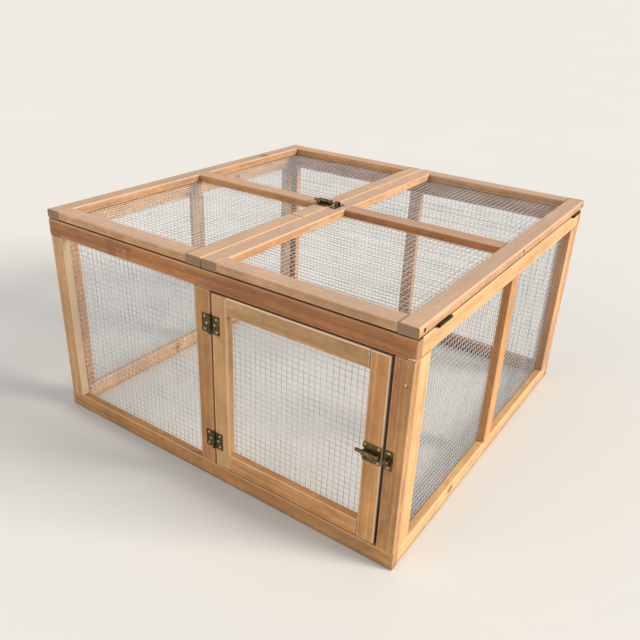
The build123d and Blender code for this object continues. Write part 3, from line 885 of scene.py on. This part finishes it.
# Brass. A finish is (dark, warm, share rubbed bright, seed).
brass = {
    "cloud": {"scale": 130.0, "detail": 4.0, "roughness": 0.7},
    "grit": {"scale": 900.0, "detail": 2.0},
    "gritShift": 2.0,
    "warming": (0.38, 0.68),
    "rubbing": (0.6, 0.72),
    "rubbed": (0.60, 0.47, 0.22, 1.0),
    "metallic": (0.3, 0.7, 0.75, 0.95),
    "roughness": (0.3, 0.7, 0.32, 0.55),
    "cloudRelief": 0.6,
    "gritRelief": 0.4,
    "bump": (0.35, 0.0002),
    "finishes": {
        "hingeBrass": ((0.050, 0.036, 0.014), (0.170, 0.118, 0.042), 0.5, 2.0),
        "roofHingeBrass": ((0.018, 0.014, 0.008), (0.060, 0.044, 0.020), 0.25, 4.0),
        "boltBrass": ((0.060, 0.045, 0.019), (0.235, 0.172, 0.066), 0.6, 6.0),
        "screwBrass": ((0.42, 0.34, 0.17), (0.66, 0.56, 0.30), 0.7, 9.0),
        "screwSteel": ((0.035, 0.030, 0.024), (0.11, 0.095, 0.075), 0.2, 12.0),
    },
}


# Brass that was darkened when made and rubbed bright again here and there: the colour, the rubbed
# spots and the gloss are noise over place, and the arrises catch the light from their bevels.
def brassMaterial(name, dark, warm, wear, seed):
    material, tree, shader = newMaterial(name)
    world = objectPlace(tree)
    cloud = noise(tree, world, seed, **brass["cloud"])
    grit = noise(tree, world, seed + brass["gritShift"], **brass["grit"])
    colour = mixColour(tree, fade(tree, cloud, *brass["warming"]), (*dark, 1.0), (*warm, 1.0))
    spots = fade(tree, grit, *brass["rubbing"], 0.0, wear)
    put(tree, shader.inputs["Base Color"], mixColour(tree, spots, colour, brass["rubbed"]))
    put(tree, shader.inputs["Metallic"], fade(tree, cloud, *brass["metallic"]))
    put(tree, shader.inputs["Roughness"], fade(tree, grit, *brass["roughness"]))
    height = calc(tree, "MULTIPLY", grit, brass["gritRelief"])
    height = calc(tree, "MULTIPLY_ADD", cloud, brass["cloudRelief"], height)
    addRelief(tree, shader, height, *brass["bump"])
    return material


finishes = {name: brassMaterial(name, *values) for name, values in brass["finishes"].items()}


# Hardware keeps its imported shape, copied and merged, with its sharp arrises eased.
hardware = {
    "weld": 0.000002,
    "ease": 0.00022,
    "segments": 2,
    "sharp": 0.7,
    "pieces": {
        "door_hinge_frame_leaves": ("run", "hinges", "hingeBrass"),
        "door_hinge_door_leaves": ("door", "hinges", "hingeBrass"),
        "door_hinge_pins": ("run", "hinges", "hingeBrass"),
        "roof_hinge_frame_leaves": ("run", "hinges", "roofHingeBrass"),
        "roof_hinge_pins": ("run", "hinges", "roofHingeBrass"),
        "roof_left_hinge_leaves": ("roof_left", "hinges", "roofHingeBrass"),
        "roof_right_hinge_leaves": ("roof_right", "hinges", "roofHingeBrass"),
        "door_bolt_body": ("door", "bolts", "boltBrass"),
        "door_bolt_rod": ("door_bolt", "bolts", "boltBrass"),
        "door_bolt_keeper": ("run", "bolts", "boltBrass"),
        "roof_bolt_body": ("roof_left", "bolts", "boltBrass"),
        "roof_bolt_rod": ("roof_bolt", "bolts", "boltBrass"),
        "roof_bolt_keeper": ("roof_right", "bolts", "boltBrass"),
    },
}


def easedCopy(name, body, material):
    mesh = bpy.data.meshes.new(name + "_eased")
    merged = bmesh.new()
    merged.from_mesh(nodes[name].data)
    bmesh.ops.remove_doubles(merged, verts=merged.verts, dist=hardware["weld"])
    merged.to_mesh(mesh)
    merged.free()
    if "custom_normal" in mesh.attributes:
        mesh.attributes.remove(mesh.attributes["custom_normal"])
    mesh.polygons.foreach_set("use_smooth", np.ones(len(mesh.polygons), dtype=bool))
    mesh.set_sharp_from_angle(angle=hardware["sharp"])
    mesh.materials.clear()
    mesh.materials.append(material)
    piece = bpy.data.objects.new(name + "_eased", mesh)
    bpy.context.collection.objects.link(piece)
    bevel = piece.modifiers.new("easedArrises", "BEVEL")
    bevel.width, bevel.segments = hardware["ease"], hardware["segments"]
    bevel.limit_method, bevel.angle_limit = "ANGLE", hardware["sharp"]
    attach(piece, body)
    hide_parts(name)


for name, (body, slot, finish) in hardware["pieces"].items():
    easedCopy(name, body, finishes[finish])
print("hardware eased:", len(hardware["pieces"]), "pieces")


# Screws: a low crowned head with a cross recess, a countersunk neck and a pointed shank. Rings,
# flat and slot are shares of the head's radius, and tapers are shares of the length.
screws = {
    "sizes": {
        "small": {
            "head": 0.0025, "rise": 0.0005, "neck": 0.0011,
            "shank": 0.0014, "length": 0.0145, "recess": 0.0010,
        },
        "long": {
            "head": 0.0040, "rise": 0.0002, "neck": 0.0024,
            "shank": 0.0020, "length": 0.0650, "recess": 0.0018,
        },
    },
    "groups": {
        "frame_screws": ("run", "small", "screwBrass"),
        "door_screws": ("door", "small", "screwBrass"),
        "roof_left_screws": ("roof_left", "small", "screwBrass"),
        "roof_right_screws": ("roof_right", "small", "screwBrass"),
        "roof_left_rail_screws": ("roof_left", "long", "screwSteel"),
        "roof_right_rail_screws": ("roof_right", "long", "screwSteel"),
    },
    "seed": 3,
    "around": 24,
    "rings": (0.0, 0.12, 0.2, 0.34, 0.5, 0.62, 0.7, 0.84, 0.94, 1.0),
    "flat": 0.45,
    "rim": 0.0001,
    "tapers": (0.8, 0.9),
    "tipShare": 0.6,
    "slotWidth": 0.17,
    "slotReach": 0.62,
    "slotCurve": 0.5,
    "weld": 0.000001,
    "cellsToMetre": 1e6,
}


# The profile goes from the middle of the head out to its rim and down to the point. On the head
# the height falls by the recess wherever x or y is within the slot, so the grid shows a cross.
def screwShape(sizes):
    head, shank, length = sizes["head"], sizes["shank"], sizes["length"]
    rings, flat = np.array(screws["rings"]), screws["flat"]
    radius = np.concatenate([rings * head, [head, shank, shank, shank * screws["tipShare"], 0.0]])
    crown = sizes["rise"] * (1 - np.clip((rings - flat) / (1 - flat), 0, 1) ** 2) - sizes["rise"]
    low = -sizes["rise"]
    first, second = screws["tapers"]
    body = [low - screws["rim"], low - sizes["neck"], -length * first, -length * second, -length]
    height = np.concatenate([crown, body])
    turn = np.linspace(0, 2 * np.pi, screws["around"], endpoint=False)
    x = radius[:, None] * np.cos(turn)
    y = radius[:, None] * np.sin(turn)
    z = np.repeat(height[:, None], len(turn), axis=1)
    share = np.maximum(np.abs(x), np.abs(y)) / head
    thin = np.minimum(np.abs(x), np.abs(y)) / head
    inSlot = (thin < screws["slotWidth"]) & (share < screws["slotReach"])
    inSlot[len(rings):] = False
    depth = np.clip(1 - share / screws["slotReach"], 0, 1) ** screws["slotCurve"]
    z = z - inSlot * sizes["recess"] * depth
    points = np.stack([x, y, z], axis=-1)
    index = np.arange(x.size).reshape(x.shape)
    return points.reshape(-1, 3), gridQuads(index)[:, ::-1]


# The separate solids of a node's mesh: vertices at one place share a number, and the lowest
# number spreads over each triangle until nothing changes.
def looseSolids(name):
    mesh = nodes[name].data
    points = np.empty(len(mesh.vertices) * 3)
    mesh.vertices.foreach_get("co", points)
    points = points.reshape(-1, 3)
    mesh.calc_loop_triangles()
    corners = np.empty(len(mesh.loop_triangles) * 3, dtype=np.int32)
    mesh.loop_triangles.foreach_get("vertices", corners)
    cells = np.round(points * screws["cellsToMetre"]).astype(np.int64)
    merged = np.unique(cells, axis=0, return_inverse=True)[1].ravel()
    triangles = merged[corners.reshape(-1, 3)]
    label, before = np.arange(merged.max() + 1), None
    while before is None or (label != before).any():
        before = label.copy()
        least = label[triangles].min(axis=1)
        for corner in range(3):
            np.minimum.at(label, triangles[:, corner], least)
    owner = label[merged]
    return [points[owner == number] for number in np.unique(owner)]


# A screw's axis is the longest side of its box, and its head is at the wider end.
def screwSeats(name, rng):
    places, turns = [], []
    for points in looseSolids(name):
        low, high = points.min(axis=0), points.max(axis=0)
        axis = int(np.argmax(high - low))
        middle = (low + high) / 2
        wide = np.linalg.norm(np.delete(points - middle, axis, axis=1), axis=1)
        sign = 1.0 if points[np.argmax(wide), axis] > middle[axis] else -1.0
        middle[axis] = high[axis] if sign > 0 else low[axis]
        out = np.eye(3)[axis] * sign
        side = np.eye(3)[(axis + 1) % 3]
        angle = rng.uniform(0, np.pi)
        side = np.cos(angle) * side + np.sin(angle) * np.cross(out, side)
        places.append(middle)
        turns.append(np.stack([side, np.cross(out, side), out], axis=1))
    return np.array(places), np.array(turns)


screwRng = np.random.default_rng(screws["seed"])
for name, (body, size, finish) in screws["groups"].items():
    places, turns = screwSeats(name, screwRng)
    shape = copyShape(screwShape(screws["sizes"][size]), places, turns)
    piece = addPiece(name + "_cut", shape, finishes[finish], body, screws["weld"])
    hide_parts(name)
    print("screws cut:", name, len(places))


# Studio: a pale floor, a broad warm key from the right, a soft fill and a pale surround. The
# lamps are suns of a wide angle, so the floor is lit evenly; a lamp shines from its place to the
# aim.
studio = {
    "floorSize": 1200.0,
    "floorColour": (0.64, 0.635, 0.61),
    "floorShade": 0.95,
    "floorRoughness": 0.85,
    "floorCloud": {"scale": 1.3, "detail": 2.0},
    "floorSeed": 1.0,
    "key": {"place": (6.3, 2.1, 3.3), "angle": 0.40, "strength": 4.9, "colour": (1.0, 0.93, 0.83)},
    "fill": {
        "place": (-2.0, -4.6, 2.6), "angle": 0.90, "strength": 1.0, "colour": (1.0, 0.97, 0.93),
    },
    "surround": (0.90, 0.905, 0.92),
    "surroundStrength": 0.66,
    "aim": (0.0, 0.0, 0.25),
}


def floorMaterial():
    material, tree, shader = newMaterial("paleFloor")
    cloud = noise(tree, objectPlace(tree), studio["floorSeed"], **studio["floorCloud"])
    tint = (*studio["floorColour"], 1.0)
    deeper = tuple(part * studio["floorShade"] for part in studio["floorColour"]) + (1.0,)
    put(tree, shader.inputs["Base Color"], mixColour(tree, cloud, tint, deeper))
    put(tree, shader.inputs["Roughness"], studio["floorRoughness"])
    return material


def addFloor():
    reach = studio["floorSize"] / 2
    mesh = bpy.data.meshes.new("floor")
    corners = [(-reach, -reach, 0), (reach, -reach, 0), (reach, reach, 0), (-reach, reach, 0)]
    mesh.from_pydata(corners, [], [(0, 1, 2, 3)])
    mesh.materials.append(floorMaterial())
    floor = bpy.data.objects.new("floor", mesh)
    bpy.context.collection.objects.link(floor)


def addSoftLight(name, sizes):
    lamp = bpy.data.lights.new(name, "SUN")
    lamp.angle, lamp.energy, lamp.color = sizes["angle"], sizes["strength"], sizes["colour"]
    light = bpy.data.objects.new(name, lamp)
    light.location = sizes["place"]
    towards = Vector(studio["aim"]) - Vector(sizes["place"])
    light.rotation_euler = towards.to_track_quat("-Z", "Y").to_euler()
    bpy.context.collection.objects.link(light)


addFloor()
addSoftLight("keyLight", studio["key"])
addSoftLight("fillLight", studio["fill"])
surround = bpy.data.worlds.new("surround")
surround.use_nodes = True
sky = surround.node_tree.nodes["Background"].inputs
sky["Color"].default_value = (*studio["surround"], 1.0)
sky["Strength"].default_value = studio["surroundStrength"]
bpy.context.scene.world = surround
bpy.context.scene.view_settings.view_transform = "Standard"

camera = {
    "place": (0.838587, -1.307514, 0.976184),
    "turn": (1.10853737, -0.0402294336, 0.60354834),
    "lens": 38.13,
    "sensor": 36.0,
    "nearest": 0.01,
    "farthest": 1000.0,
}
lensData = bpy.data.cameras.new("view")
lensData.sensor_width, lensData.lens = camera["sensor"], camera["lens"]
lensData.clip_start, lensData.clip_end = camera["nearest"], camera["farthest"]
viewer = bpy.data.objects.new("view", lensData)
viewer.location, viewer.rotation_euler = camera["place"], camera["turn"]
bpy.context.collection.objects.link(viewer)
bpy.context.scene.camera = viewer
print("studio set")

bpy.context.view_layer.update()
